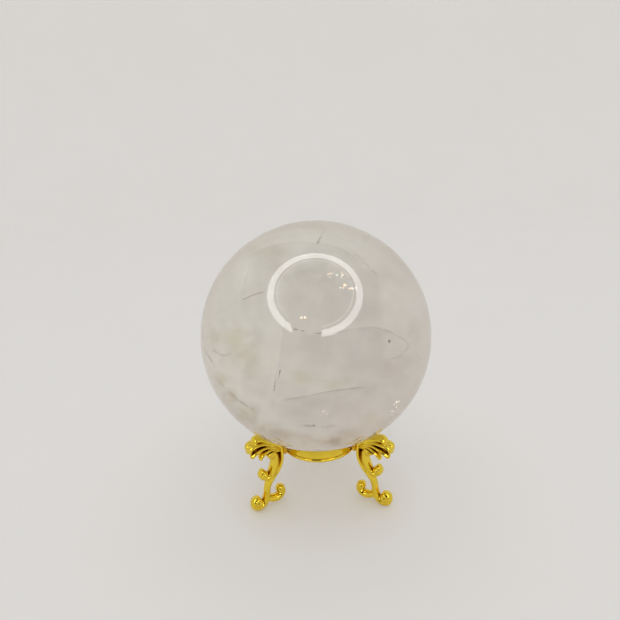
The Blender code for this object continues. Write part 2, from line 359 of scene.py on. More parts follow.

# Each cluster of chips: its place and spread in ball radii (right, up and near), how many chips,
# and their size in millimetres. The flakes carry a painted glint, and the specks are dark.
FLAKES = (
    ((0.11, 0.345, 0.0), (0.020, 0.006, 0.01), 5, 0.55),
    ((0.165, 0.345, 0.0), (0.012, 0.010, 0.01), 4, 0.50),
    ((0.185, 0.275, 0.0), (0.014, 0.010, 0.01), 6, 0.65),
    ((0.225, 0.255, 0.0), (0.014, 0.010, 0.01), 5, 0.65),
    ((-0.07, 0.10, 0.0), (0.012, 0.003, 0.01), 4, 0.75),
    ((0.46, -0.42, 0.0), (0.012, 0.02, 0.01), 6, 0.55),
    ((0.44, -0.48, 0.0), (0.03, 0.012, 0.01), 6, 0.45),
    ((0.05, -0.43, 0.0), (0.01, 0.01, 0.01), 3, 0.40),
    ((0.30, 0.40, 0.0), (0.030, 0.030, 0.01), 4, 0.25),
)
FLAKE_THICKNESS = 0.03
FLAKE_SEED = 61
SPECKS = (
    ((0.42, -0.052, 0.0), (0.003, 0.003, 0.003), 4, 0.52),
    ((-0.04, -0.630, 0.55), (0.060, 0.007, 0.004), 12, 0.56),
    ((-0.95, 0.14, 0.20), (0.003, 0.003, 0.003), 3, 0.40),
    ((-0.86, -0.36, 0.30), (0.006, 0.004, 0.003), 3, 0.40),
)
SPECK_THICKNESS = 0.30
SPECK_SEED = 91
# How a chip may be turned, in radians, and its length and breadth as shares of its cluster's size.
CHIP_TILTS = (0.5, 1.8)
CHIP_TURNS = (0, 6.28)
CHIP_LENGTHS = (0.6, 1.1)
CHIP_BREADTHS = (0.4, 0.8)
CHIP_SIDES = (5, 6, 7)
CHIP_FACE_RADII = (0.5, 0.42)

# No flaw lies farther from the ball's centre than this share of its radius.
FLAW_LIMIT = 0.985


# Geometry helpers


def add_object(name, mesh, material):
    obj = bpy.data.objects.new(name, mesh)
    bpy.context.scene.collection.objects.link(obj)
    mesh.materials.append(material)
    return obj


def add_to_stand(obj, replaced):
    """The piece rides on the stand and shows in place of a solid."""
    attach(obj, "stand")
    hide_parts(replaced)


def add_flaw(name, mesh, material):
    """A piece inside the stone, which rides on the ball."""
    flaw = add_object(name, mesh, material)
    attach(flaw, "ball")


def sheet_from(bm, name):
    """The finished mesh, with its faces as they were made."""
    mesh = bpy.data.meshes.new(name)
    bm.to_mesh(mesh)
    bm.free()
    return mesh


def mesh_from(bm, name):
    """The finished mesh of closed shapes, with their faces turned outwards."""
    bmesh.ops.recalc_face_normals(bm, faces=bm.faces)
    return sheet_from(bm, name)


def smoothstep(t):
    return t * t * (3 - 2 * t)


def catmull_rom(rows, steps):
    """A smooth row of points through all of these, with this many steps from each to the next."""
    padded = [rows[0], *rows, rows[-1]]
    smooth = []
    for before, start, end, after in zip(padded, padded[1:], padded[2:], padded[3:]):
        for step in range(steps):
            t = step / steps
            smooth.append(
                tuple(
                    0.5 * (2 * b + (c - a) * t + (2 * a - 5 * b + 4 * c - d) * t**2
                           + (3 * b - a - 3 * c + d) * t**3)
                    for a, b, c, d in zip(before, start, end, after)
                )
            )
    return [*smooth, tuple(rows[-1])]


def spin_outline(bm, outline, closed, steps, weld):
    """Turns an outline of (radius, height), in metres, once round the stand's axis."""
    corners = [bm.verts.new((radius, 0, height)) for radius, height in outline]
    following = corners[1:] + corners[:1] if closed else corners[1:]
    edges = [bm.edges.new(pair) for pair in zip(corners, following)]
    bmesh.ops.spin(
        bm, geom=corners + edges, axis=(0, 0, 1), cent=(0, 0, 0), steps=steps,
        angle=2 * math.pi, use_merge=True,
    )
    bmesh.ops.remove_doubles(bm, verts=bm.verts, dist=weld)


def rounded_ends(rows):
    """The stations of a bar with a dome added at each end."""
    first, last = Vector(rows[0][:3]), Vector(rows[-1][:3])
    out_first = (first - Vector(rows[1][:3])).normalized()
    out_last = (last - Vector(rows[-2][:3])).normalized()
    angles = [math.radians(angle) for angle in BAR_END_ANGLES]

    def dome(row, outwards, angle):
        centre = Vector(row[:3]) + outwards * row[3] * math.sin(angle)
        return (*centre, row[3] * math.cos(angle), row[4] * math.cos(angle))

    start = [dome(rows[0], out_first, angle) for angle in reversed(angles)]
    end = [dome(rows[-1], out_last, angle) for angle in angles]
    return [*start, *rows, *end]


def add_bar(bm, stations, side=1):
    """A bar of oval section along its stations. A side of -1 mirrors it across the leg."""
    rows = rounded_ends(catmull_rom(stations, BAR_STEPS))
    centres = [Vector((row[0], side * row[1], row[2])) * MM for row in rows]
    loops = []
    for i, row in enumerate(rows):
        along = (centres[min(i + 1, len(rows) - 1)] - centres[max(i - 1, 0)]).normalized()
        across = (Vector((0, 1, 0)) - along * along.y).normalized()
        normal = along.cross(across)
        loop = []
        for k in range(BAR_SIDES):
            angle = 2 * math.pi * k / BAR_SIDES
            offset = across * row[4] * math.cos(angle) + normal * row[3] * math.sin(angle)
            loop.append(bm.verts.new(centres[i] + offset * MM))
        loops.append(loop)
    for near, far in zip(loops, loops[1:]):
        for k in range(BAR_SIDES):
            j = (k + 1) % BAR_SIDES
            bm.faces.new((near[k], near[j], far[j], far[k]))
    bm.faces.new(reversed(loops[0]))
    bm.faces.new(loops[-1])


def add_eye(bm, centre, radius, half_width):
    """A flattened ball whose axis lies across the leg."""
    made = bmesh.ops.create_uvsphere(
        bm, u_segments=EYE_SEGMENTS, v_segments=EYE_RINGS, radius=MM
    )
    verts = made["verts"]
    bmesh.ops.rotate(bm, matrix=Matrix.Rotation(math.radians(90), 3, "X"), verts=verts)
    bmesh.ops.scale(bm, vec=(radius, half_width, radius), verts=verts)
    bmesh.ops.translate(bm, vec=Vector(centre) * MM, verts=verts)


# Materials


class Nodes:
    """A short way to build a material's node tree."""

    def __init__(self, name):
        self.material = bpy.data.materials.new(name)
        self.material.use_nodes = True
        self.tree = self.material.node_tree
        self.tree.nodes.clear()

    def add(self, kind, inputs=None, **settings):
        node = self.tree.nodes.new(kind)
        for key, value in settings.items():
            setattr(node, key, value)
        for key, value in (inputs or {}).items():
            self.put(node, key, value)
        return node

    def put(self, node, key, value):
        if isinstance(value, bpy.types.NodeSocket):
            self.tree.links.new(value, node.inputs[key])
        elif isinstance(value, bpy.types.Node):
            self.tree.links.new(value.outputs[0], node.inputs[key])
        else:
            node.inputs[key].default_value = value

    def place(self):
        """Where a point is, on the object's own axes."""
        return self.add("ShaderNodeTexCoord").outputs["Object"]

    def clouds(self, place, scale, detail, distortion=0.0):
        inputs = {"Vector": place, "Scale": scale, "Detail": detail, "Distortion": distortion}
        return self.add("ShaderNodeTexNoise", inputs)

    def ramp(self, factor, stops):
        """Each stop is a position and a grey or a colour."""
        node = self.add("ShaderNodeValToRGB", {"Fac": factor})
        elements = node.color_ramp.elements
        while len(elements) < len(stops):
            elements.new(0.5)
        for element, (position, value) in zip(elements, stops):
            element.position = position
            colour = value if isinstance(value, tuple) else (value, value, value)
            element.color = (*colour, 1.0)
        return node

    def mix(self, factor, first, second, blend="MIX"):
        node = self.add("ShaderNodeMix", data_type="RGBA", blend_type=blend)
        self.put(node, MIX_FACTOR, factor)
        self.put(node, MIX_FIRST, first)
        self.put(node, MIX_SECOND, (*second, 1.0))
        return node.outputs[MIX_RESULT]

    def finish(self, surface):
        self.add("ShaderNodeOutputMaterial", {"Surface": surface})
        return self.material


def gilt(name, paints, roughness):
    """Bright plating: painted shade, deep and red, in the hollows, with a faint casting ripple and
    dull patches.
    """
    bright, deep = paints
    dull = tuple(WORN_SHADE * c for c in bright)
    n = Nodes(name)
    place = n.place()
    # Painted shade: where ambient occlusion finds a hollow, the deep red paint is mixed in.
    open_sky = n.add(
        "ShaderNodeAmbientOcclusion", {"Distance": HOLLOW_REACH}, samples=6, only_local=True
    )
    hollow_shade = n.ramp(open_sky.outputs["AO"], ((0.25, 1.0), (0.74, 0.0)))
    patches = n.clouds(place, scale=260.0, detail=3.0)
    worn = n.ramp(patches, ((0.40, bright), (0.70, dull)))
    colour = n.mix(hollow_shade, worn, deep)
    rough = n.ramp(patches, ((0.35, roughness), (0.75, roughness + WORN_ROUGHNESS)))
    ripple = n.add(
        "ShaderNodeBump", {"Strength": 0.03, "Distance": RIPPLE_DEPTH, "Height": patches}
    )
    shader = n.add(
        "ShaderNodeBsdfPrincipled",
        {"Base Color": colour, "Metallic": 1.0, "Roughness": rough, "Normal": ripple},
    )
    return n.finish(shader)


def quartz_tint(n, place, clouds):
    """Greenish and clear at the top left, with a rosy cast at the bottom right."""
    from_centre = n.add("ShaderNodeVectorMath", {0: place, 1: BALL_CENTRE}, operation="SUBTRACT")
    lean = n.add("ShaderNodeVectorMath", {0: from_centre, 1: TINT_LEAN}, operation="DOT_PRODUCT")
    sunk = n.add(
        "ShaderNodeMapRange",
        {"Value": lean.outputs["Value"], "From Min": -BALL_RADIUS, "From Max": BALL_RADIUS},
    )
    drift = n.add("ShaderNodeMath", {0: clouds, 1: sunk}, operation="ADD")
    halved = n.add("ShaderNodeMath", {0: drift, 1: 0.5}, operation="MULTIPLY")
    return n.ramp(halved, ((0.34, TINT_GREEN), (0.48, TINT_GREY), (0.66, TINT_ROSE)))


def quartz():
    """Polished quartz: cloudy and streaked, with a painted brown shade towards its rim."""
    n = Nodes("quartz")
    place = n.place()
    clouds = n.clouds(place, scale=26.0, detail=4.0, distortion=0.8)
    wisps = n.clouds(place, scale=75.0, detail=5.0, distortion=1.5)
    tint = quartz_tint(n, place, clouds)
    streaks = n.ramp(wisps, ((0.40, 0.0), (0.75, 1.0)))
    streaked = n.mix(streaks, tint, TINT_STREAK, "MULTIPLY")
    # Painted shade: the stone turns browner where its surface faces away from the view, at its rim.
    facing = n.add("ShaderNodeLayerWeight", {"Blend": 0.5}).outputs["Facing"]
    rim = n.ramp(facing, ((0.60, 0.0), (0.86, 1.0)))
    rim_shaded = n.mix(rim, streaked, RIM_SHADE_PAINT, "MULTIPLY")
    clear = n.ramp(wisps, ((0.30, 0.90), (0.70, 0.97)))
    smudge = n.ramp(clouds, ((0.40, 0.008), (0.70, 0.020)))
    shader = n.add(
        "ShaderNodeBsdfPrincipled",
        {
            "Base Color": rim_shaded,
            "Roughness": smudge,
            "IOR": QUARTZ_IOR,
            "Transmission Weight": clear,
        },
    )
    return n.finish(shader)


def veil_material(
    name, colour, density, scale, other=None, thin=0.35, patchy=(0.30, 0.65), glow=0.0
):
    """A sheet of fine bubbles in the stone, which fades out as the sheet's own values say.

    The density is its cover where it is thick, and thin is the share of that where it is thin.
    It goes from thin to thick as its clouds rise from the first to the second patchy value.
    """
    n = Nodes(name)
    place = n.place()
    body = n.add("ShaderNodeAttribute", attribute_name=VEIL_BODY)
    patches = n.clouds(place, scale, detail=6.0, distortion=1.0)
    mist = n.ramp(patches, ((patchy[0], thin * density), (patchy[1], density)))
    alpha = n.add("ShaderNodeMath", {0: body.outputs["Fac"], 1: mist}, operation="MULTIPLY")
    other = other or tuple(c * f for c, f in zip(colour, (1.0, 0.97, 0.93)))
    blotches = n.clouds(place, 1.7 * scale, detail=6.0)
    paint = n.ramp(blotches, ((0.42, colour), (0.62, other)))
    shader = n.add(
        "ShaderNodeBsdfPrincipled", {"Base Color": paint, "Roughness": 0.6, "Alpha": alpha}
    )
    # A glow is painted light: the sheet shines in its own paint, as light scattered in it would.
    if glow:
        n.put(shader, "Emission Color", paint)
        n.put(shader, "Emission Strength", glow)
    return n.finish(shader)


def crack_material(name, colour, deep):
    """Dark, in two shades."""
    n = Nodes(name)
    stain = n.clouds(n.place(), scale=900.0, detail=3.0)
    paint = n.ramp(stain, ((0.40, colour), (0.60, deep)))
    return n.finish(n.add("ShaderNodeBsdfPrincipled", {"Base Color": paint, "Roughness": 0.5}))


def painted_glint_flake_material():
    """Air films in small cracks, bright with a painted glint, with a little colour that changes
    along them.
    """
    n = Nodes("flake_painted_glint")
    film = n.clouds(n.place(), scale=700.0, detail=1.0)
    paint = n.ramp(
        film, ((0.35, (0.98, 0.94, 0.90)), (0.52, (0.98, 0.70, 0.45)), (0.62, (0.9, 0.95, 0.98)))
    )
    shader = n.add(
        "ShaderNodeBsdfPrincipled", {"Base Color": paint, "Roughness": 0.25, "Metallic": 0.3}
    )
    # Painted glint: the flakes glow in their own paint.
    n.put(shader, "Emission Color", paint)
    n.put(shader, "Emission Strength", 0.9)
    return n.finish(shader)


def sweep_material():
    """Matt white with a faint glow, as if lit from all round."""
    n = Nodes("sweep_white")
    speckle = n.clouds(n.place(), scale=9.0, detail=2.0)
    darker = tuple(0.99 * c for c in SWEEP_WHITE)
    paint = n.ramp(speckle, ((0.3, darker), (0.7, SWEEP_WHITE)))
    shader = n.add("ShaderNodeBsdfPrincipled", {"Base Color": paint, "Roughness": 0.7})
    n.put(shader, "Emission Color", SWEEP_GLOW_COLOUR)
    n.put(shader, "Emission Strength", SWEEP_GLOW)
    return n.finish(shader)


def lamp_material(name, strength):
    n = Nodes(name)
    return n.finish(n.add("ShaderNodeEmission", {"Strength": strength}))


def dim_material(name):
    """Dark in the middle and clear at the rim, so that its mirror image has no hard edge."""
    n = Nodes(name)
    ball = n.add("ShaderNodeTexGradient", {"Vector": n.place()}, gradient_type="SPHERICAL")
    alpha = n.ramp(ball, ((0.02, 0.0), (0.45, 1.0)))
    return n.finish(
        n.add("ShaderNodeBsdfPrincipled", {"Base Color": DIM_COLOUR, "Alpha": alpha})
    )


# The stand


def leaf_lift(place, tip_lift):
    """How far the bend of the leaf lifts this point: not at all at the root, fully at the tip."""
    start_out, start_up = LEAF_BEND_START
    length_out, length_up = LEAF_BEND_LENGTH
    outwards = min(1.0, max(0.0, (place.x / MM - start_out) / length_out))
    upwards = min(1.0, max(0.0, (place.z / MM - start_up) / length_up))
    return tip_lift * MM * smoothstep(outwards) * smoothstep(upwards)


def leg_bars(name):
    """All the bars and eyes of a leg, which still run through each other."""
    bm = bmesh.new()
    for stations in (BACK_STRIP, FRONT_STRIP, INNER_CURL, CREST):
        add_bar(bm, stations)
    for finger in LEAF_FINGERS:
        for side in (-1, 1):
            add_bar(bm, finger, side)
        web = [
            (out, 0, up, WEB_THICKENING * thick, WEB_HALF_WIDTH)
            for out, _, up, thick, _ in finger[:-1]
        ]
        add_bar(bm, web)
    for centre, radius, half_width in CURL_EYES:
        add_eye(bm, centre, radius, half_width)
    return mesh_from(bm, name)


def fuse(leg):
    """Makes the leg's crossing bars into a single skin, with soft inner corners."""
    remesh = leg.modifiers.new("Fuse", "REMESH")
    remesh.mode = "VOXEL"
    remesh.voxel_size = LEG_VOXEL
    remesh.use_smooth_shade = True
    smooth = leg.modifiers.new("Soften", "SMOOTH")
    smooth.factor = 0.5
    smooth.iterations = LEG_SOFTENING_PASSES
    graph = bpy.context.evaluated_depsgraph_get()
    fused = bpy.data.meshes.new_from_object(leg.evaluated_get(graph))
    leg.modifiers.clear()
    old = leg.data
    leg.data = fused
    bpy.data.meshes.remove(old)


def make_leg(name, angle, material):
    """One cast leg, with its leaf bent by hand."""
    leg = add_object(name + "_casting", leg_bars(name + "_casting"), material)
    fuse(leg)
    for vertex in leg.data.vertices:
        vertex.co.z = max(vertex.co.z + leaf_lift(vertex.co, LEAF_LIFTS[name]), 0.0)
    leg.data.transform(Matrix.Rotation(math.radians(angle), 4, "Z"))
    leg.data.shade_smooth()
    add_to_stand(leg, name)


def ball_height(radius, clearance):
    """How high the ball's underside is at this distance from the axis, less the clearance."""
    reach = BALL_RADIUS / MM + clearance
    return BALL_CENTRE.z / MM - math.sqrt(reach**2 - radius**2)


def ring_outline(outer, bottom, top):
    """The section of the ring, as (radius, height) in millimetres."""
    inner = outer - RING_WALL
    seat_in = ball_height(inner, RING_CLEARANCE)
    inside = [(inner, bottom + 0.3), (inner, seat_in - 0.2), (inner + 0.15, seat_in)]
    rim = [(outer - 0.35, top - 0.08), (outer - 0.15, top - 0.02), (outer, top - 0.25)]
    waist = [(outer - 0.12, top - 0.55), (outer - 0.42, top - 0.9)]
    waist += [(outer - 0.5, bottom + 1.9), (outer - 0.42, bottom + 1.45)]
    roll = []
    for step in range(ROLL_STEPS + 1):
        angle = math.radians(80 - 160 * step / ROLL_STEPS)
        radius = outer - ROLL_RADIUS + ROLL_RADIUS * math.cos(angle)
        roll.append((radius, bottom + ROLL_RADIUS + ROLL_RADIUS * math.sin(angle)))
    underside = [(outer - 0.9, bottom), (inner + 0.3, bottom)]
    return [*inside, *rim, *waist, *roll, *underside]


def make_ring(material):
    """The turned ring that cradles the ball: a dished seat, a hollow waist and a rolled foot."""
    low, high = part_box("stand_ring")
    outline = ring_outline(high.x / MM, low.z / MM, high.z / MM)
    bm = bmesh.new()
    in_metres = [(radius * MM, height * MM) for radius, height in outline]
    spin_outline(bm, in_metres, closed=True, steps=RING_STEPS, weld=1e-7)
    mesh = mesh_from(bm, "seat_ring")
    mesh.shade_smooth()
    mesh.set_sharp_from_angle(angle=RING_SHARP_ANGLE)
    ring = add_object("seat_ring", mesh, material)
    add_to_stand(ring, "stand_ring")


def make_solder(place, angle, material):
    """A lump of solder that has run into the corner between the ring and a leg."""
    node = "solder_" + place
    own_shape = Vector((angle, 0, 0))
    half_x, half_y, half_z = SOLDER_HALF_SIZES
    bm = bmesh.new()
    bmesh.ops.create_icosphere(bm, subdivisions=4, radius=1.0)
    for vert in bm.verts:
        swell = 1 + SOLDER_LUMPS * noise.noise(vert.co * SOLDER_LUMP_SCALE + own_shape)
        flow = Vector((half_x, half_y + SOLDER_SPLAY * vert.co.x, half_z)) * swell
        vert.co = Vector([c * f for c, f in zip(vert.co, flow)]) + SOLDER_PLACE
    bmesh.ops.scale(bm, vec=(MM, MM, MM), verts=bm.verts)
    mesh = mesh_from(bm, node + "_lump")
    mesh.transform(Matrix.Rotation(math.radians(angle), 4, "Z"))
    mesh.shade_smooth()
    add_to_stand(add_object(node + "_lump", mesh, material), node)


# The ball


def in_ball(right, up, near):
    """A point in the ball, in ball radii, on axes tilted towards someone looking down at it."""
    tilt_up = Vector((0, math.sin(CAMERA_ELEVATION), math.cos(CAMERA_ELEVATION)))
    tilt_near = Vector((0, -math.cos(CAMERA_ELEVATION), math.sin(CAMERA_ELEVATION)))
    offset = Vector((1, 0, 0)) * right + tilt_up * up + tilt_near * near
    return BALL_CENTRE + BALL_RADIUS * offset


def kept_inside(point):
    """The point, pulled back under the ball's surface if it would come out."""
    offset = point - BALL_CENTRE
    return BALL_CENTRE + offset * min(1.0, FLAW_LIMIT * BALL_RADIUS / max(offset.length, 1e-9))


def make_ball():
    bm = bmesh.new()
    bmesh.ops.create_icosphere(bm, subdivisions=BALL_SUBDIVISIONS, radius=BALL_RADIUS)
    bmesh.ops.translate(bm, vec=BALL_CENTRE, verts=bm.verts)
    mesh = mesh_from(bm, "quartz_ball")
    mesh.shade_smooth()
    ball = add_object("quartz_ball", mesh, quartz())
    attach(ball, "ball")
    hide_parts("crystal_ball")


def make_veil(
    name, edge, reach, material, sag, seed, end_fade=0.25, falloff=1.3, start=0.0
):
    """A wavy sheet in the stone, which spreads from its edge and fades out towards its reach.

    It also fades over the end_fade share of its edge at both ends. With no start it is crisp
    along its edge, and otherwise it rises over that share of its reach.
    """
    line = catmull_rom(edge, VEIL_STEPS)
    bm = bmesh.new()
    body = bm.verts.layers.float.new(VEIL_BODY)
    grid = []
    for i, place in enumerate(line):
        along = i / (len(line) - 1)
        ends = min(1.0, along / end_fade, (1 - along) / end_fade)
        column = []
        for j in range(VEIL_ROWS + 1):
            out = j / VEIL_ROWS
            spot = Vector(place) + Vector(reach) * out
            ripple = noise.noise(Vector((along * VEIL_WAVES[0], out * VEIL_WAVES[1], seed)))
            wave = ripple * sag * math.sin(math.pi * out * 0.5)
            spot.z += wave + VEIL_BELLY * sag * out * (1 - out)
            vert = bm.verts.new(kept_inside(in_ball(*spot)))
            rise = smoothstep(min(1.0, out / start)) if start else 1.0
            vert[body] = rise * (1 - out) ** falloff * smoothstep(ends)
            column.append(vert)
        grid.append(column)
    for near_column, far_column in zip(grid, grid[1:]):
        for j in range(VEIL_ROWS):
            bm.faces.new((near_column[j], far_column[j], far_column[j + 1], near_column[j + 1]))
    mesh = sheet_from(bm, name)
    mesh.shade_smooth()
    add_flaw(name, mesh, material)


def make_haze(material):
    """A hazy layer that runs through the whole stone a little under its skin."""
    bm = bmesh.new()
    radius = HAZE_RADIUS * BALL_RADIUS
    bmesh.ops.create_icosphere(bm, subdivisions=HAZE_SUBDIVISIONS, radius=radius)
    body = bm.verts.layers.float.new(VEIL_BODY)
    own_shape = Vector((HAZE_SEED, 0, 0))
    for vert in bm.verts:
        vert.co *= 1 + HAZE_WAVINESS * noise.noise(vert.co * HAZE_WAVE_SCALE + own_shape)
        vert.co += BALL_CENTRE
        vert[body] = 1.0
    mesh = mesh_from(bm, "haze_layer")
    mesh.shade_smooth()
    add_flaw("haze_layer", mesh, material)


def make_veils():
    """The big sheets: rosy and tan in the middle, milky and straw at the left, and a haze."""
    rose = veil_material("rose_veil", (0.60, 0.51, 0.50), density=0.24, scale=60.0)
    faint_rose = veil_material("faint_rose_veil", (0.60, 0.50, 0.50), density=0.22, scale=110.0)
    tan = veil_material("tan_veil", (0.58, 0.50, 0.45), density=0.24, scale=90.0)
    milk = veil_material(
        "milk_veil", (1.0, 1.0, 0.93), density=0.24, scale=90.0, thin=0.6, glow=MILK_GLOW
    )
    straw = veil_material(
        "straw_veil", (0.76, 0.66, 0.34), density=0.20, scale=150.0, thin=0.0, patchy=(0.40, 0.60)
    )
    haze = veil_material(
        "haze", (0.95, 0.95, 0.88), density=0.15, scale=70.0, other=(0.46, 0.39, 0.34)
    )
    make_veil(
        "upper_veil", UPPER_EDGE, (0.02, -0.80, -0.20), rose,
        sag=0.08, seed=3.0, end_fade=0.10, falloff=0.9,
    )
    make_veil(
        "middle_veil", MIDDLE_EDGE, (-0.02, -0.36, -0.30), faint_rose,
        sag=0.10, seed=7.0, end_fade=0.30,
    )
    make_veil(
        "lower_veil", LOWER_EDGE, (0.02, -0.32, 0.30), tan,
        sag=0.08, seed=11.0, end_fade=0.30,
    )
    make_veil(
        "side_veil", SIDE_EDGE, (-0.17, 0.06, -0.02), milk,
        sag=0.0, seed=17.0, falloff=1.1, start=0.04,
    )
    haze_edge = [(right - HAZE_LEFT, up, near - HAZE_BACK) for right, up, near in SIDE_EDGE]
    make_veil(
        "side_haze", haze_edge, (-0.40, 0.02, -0.10), straw,
        sag=0.06, seed=19.0, end_fade=0.30, falloff=0.6, start=0.3,
    )
    make_veil(
        "corner_veil", CORNER_EDGE, (-0.13, -0.02, -0.02), milk,
        sag=0.0, seed=23.0, end_fade=0.35, falloff=0.9,
    )
    make_haze(haze)


def behind_face(right, up, near):
    """Where a flaw lies at this depth, if it shows through this place on the ball's face.

    The line of sight bends where it enters the stone, so this follows the bent line inwards.
    """
    right, up = (
        right * math.cos(CAMERA_ROLL) - up * math.sin(CAMERA_ROLL),
        right * math.sin(CAMERA_ROLL) + up * math.cos(CAMERA_ROLL),
    )
    out = min(FLAW_LIMIT, max(1e-6, math.hypot(right, up)))
    outside = math.asin(out * BALL_RADIUS / CAMERA_DISTANCE)
    place = math.asin(out) - outside
    inside = outside - math.asin(out) + math.asin(out / QUARTZ_IOR)
    lateral = math.sin(place) + (math.cos(place) - near) * math.tan(inside)
    return right * lateral / out, up * lateral / out, near


def make_patch(name, centre, half_sizes, near, material, seed):
    """A small stain: a ragged disc that thins out all round its rim."""
    bm = bmesh.new()
    body = bm.verts.layers.float.new(VEIL_BODY)

    def add_spot(ring, step):
        out = ring / PATCH_RINGS
        angle = 2 * math.pi * step / PATCH_SIDES
        heading = Vector((math.cos(angle), math.sin(angle), seed))
        ragged = 1 + PATCH_RAGGEDNESS * noise.noise(heading * PATCH_RAG_SCALE)
        right = centre[0] + half_sizes[0] * out * ragged * math.cos(angle)
        up = centre[1] + half_sizes[1] * out * ragged * math.sin(angle)
        vert = bm.verts.new(kept_inside(in_ball(*behind_face(right, up, near))))
        vert[body] = (1 - out * out) ** 1.5
        return vert

    middle = add_spot(0, 0)
    rings = [
        [add_spot(ring, step) for step in range(PATCH_SIDES)]
        for ring in range(1, PATCH_RINGS + 1)
    ]
    for step in range(PATCH_SIDES):
        after = (step + 1) % PATCH_SIDES
        bm.faces.new((middle, rings[0][step], rings[0][after]))
        for inner, outer in zip(rings, rings[1:]):
            bm.faces.new((inner[step], outer[step], outer[after], inner[after]))
    mesh = sheet_from(bm, name)
    mesh.shade_smooth()
    add_flaw(name, mesh, material)


def patch_materials():
    """The material of each kind of patch, each lit by a painted glow in its own paint."""
    soft, broken = (0.28, 0.62), (0.34, 0.56)
    return {
        "straw": veil_material(
            "straw_patch", (0.66, 0.53, 0.06), density=0.24, scale=190.0,
            other=(0.56, 0.40, 0.04), thin=0.2, patchy=soft, glow=0.20,
        ),
        "rust": veil_material(
            "rust_patch", (0.56, 0.33, 0.02), density=0.24, scale=230.0,
            other=(0.75, 0.54, 0.14), thin=0.5, patchy=broken, glow=0.28,
        ),
        "stain": veil_material(
            "stain_patch", (0.20, 0.08, 0.00), density=0.24, scale=320.0,
            other=(0.55, 0.30, 0.02), thin=0.2, patchy=broken, glow=0.22,
        ),
        "milk": veil_material(
            "milk_patch", (1.0, 1.0, 0.92), density=0.22, scale=150.0,
            thin=0.2, patchy=soft, glow=MILK_GLOW,
        ),
        "rose": veil_material(
            "rose_patch", (0.62, 0.42, 0.44), density=0.13, scale=150.0,
            thin=0.2, patchy=soft, glow=0.12,
        ),
    }


def make_patches():
    kinds = patch_materials()
    for index, (kind, centre, half_sizes) in enumerate(PATCHES):
        name = f"{kind}_patch_{index + 1}"
        near = PATCH_FARTHEST + PATCH_STEP * index
        make_patch(name, centre, half_sizes, near, kinds[kind], PATCH_SEED + index)


def make_crack(name, path, width, material, seed):
    """A fine broken line, as a fracture shows edge on: flat slivers, thick and thin by turns."""
    rng = random.Random(seed)
    line = [in_ball(*row) for row in catmull_rom(path, CRACK_STEPS)]
    bm = bmesh.new()
    previous = None
    for i, place in enumerate(line):
        if rng.random() < CRACK_GAP_CHANCE:
            previous = None
            continue
        ahead = line[min(i + 1, len(line) - 1)] - line[max(i - 1, 0)]
        along = ahead.normalized()
        across = along.cross(place - BALL_CENTRE + Vector((0, -1e-6, 0))).normalized()
        deep = along.cross(across)
        thick = width * MM * rng.uniform(*SLIVER_WIDTHS)
        centre = place + across * width * MM * rng.uniform(-SLIVER_STRAY, SLIVER_STRAY)
        loop = [
            bm.verts.new(kept_inside(centre + across * thick * a + deep * thick * SLIVER_DEPTH * d))
            for a, d in SLIVER_CORNERS
        ]
        if previous:
            for k in range(4):
                j = (k + 1) % 4
                bm.faces.new((previous[k], previous[j], loop[j], loop[k]))
        previous = loop
    bmesh.ops.holes_fill(bm, edges=[e for e in bm.edges if e.is_boundary], sides=4)
    loose = [v for v in bm.verts if not v.link_faces]
    bmesh.ops.delete(bm, geom=loose, context="VERTS")
    add_flaw(name, mesh_from(bm, name), material)


def make_cracks():
    dark = crack_material("crack_dark", (0.20, 0.13, 0.10), (0.08, 0.05, 0.04))
    for index, (path, width) in enumerate(CRACKS):
        make_crack(f"crack_{index + 1}", path, width, dark, CRACK_SEED + index)


def make_chips(name, centre, spread, count, size, thick, material, seed):
    """A cluster of small flat chips, each turned its own way."""
    rng = random.Random(seed)
    bm = bmesh.new()
    for _ in range(count):
        spot = Vector(centre) + Vector(rng.gauss(0, s) for s in spread)
        place = kept_inside(in_ball(*spot))
        tilt = Matrix.Rotation(rng.uniform(*CHIP_TILTS), 3, "X")
        turn = Matrix.Rotation(rng.uniform(*CHIP_TURNS), 3, "Z")
        length = size * rng.uniform(*CHIP_LENGTHS)
        breadth = size * rng.uniform(*CHIP_BREADTHS)
        sides = rng.choice(CHIP_SIDES)
        made = bmesh.ops.create_cone(
            bm, cap_ends=True, segments=sides,
            radius1=CHIP_FACE_RADII[0], radius2=CHIP_FACE_RADII[1], depth=1.0,
        )
        bmesh.ops.scale(bm, vec=Vector((length, breadth, thick)) * MM, verts=made["verts"])
        bmesh.ops.rotate(bm, matrix=tilt @ turn, verts=made["verts"])
        bmesh.ops.translate(bm, vec=place, verts=made["verts"])
    add_flaw(name, mesh_from(bm, name), material)


def make_flakes_and_specks():
    flake_painted_glint = painted_glint_flake_material()
    for index, cluster in enumerate(FLAKES):
        make_chips(f"flakes_{index + 1}", *cluster, FLAKE_THICKNESS, flake_painted_glint, FLAKE_SEED + index)
    soot = crack_material("speck", (0.16, 0.12, 0.11), (0.06, 0.05, 0.05))
    for index, cluster in enumerate(SPECKS):
        make_chips(f"specks_{index + 1}", *cluster, SPECK_THICKNESS, soot, SPECK_SEED + index)


# The studio


def add_camera():
    direction = Vector(
        (
            math.sin(CAMERA_AZIMUTH) * math.cos(CAMERA_ELEVATION),
            -math.cos(CAMERA_AZIMUTH) * math.cos(CAMERA_ELEVATION),
            math.sin(CAMERA_ELEVATION),
        )
    )
    place = BALL_CENTRE + direction * CAMERA_DISTANCE
    turn = (CAMERA_AIM - place).to_track_quat("-Z", "Y").to_matrix().to_4x4()
    camera = bpy.data.objects.new("camera", bpy.data.cameras.new("camera"))
    camera.matrix_world = Matrix.Translation(place) @ turn @ Matrix.Rotation(CAMERA_ROLL, 4, "Z")
    camera.data.lens = CAMERA_LENS
    camera.data.sensor_width = CAMERA_SENSOR
    camera.data.clip_start = 1 * MM
    bpy.context.scene.collection.objects.link(camera)
    bpy.context.scene.camera = camera


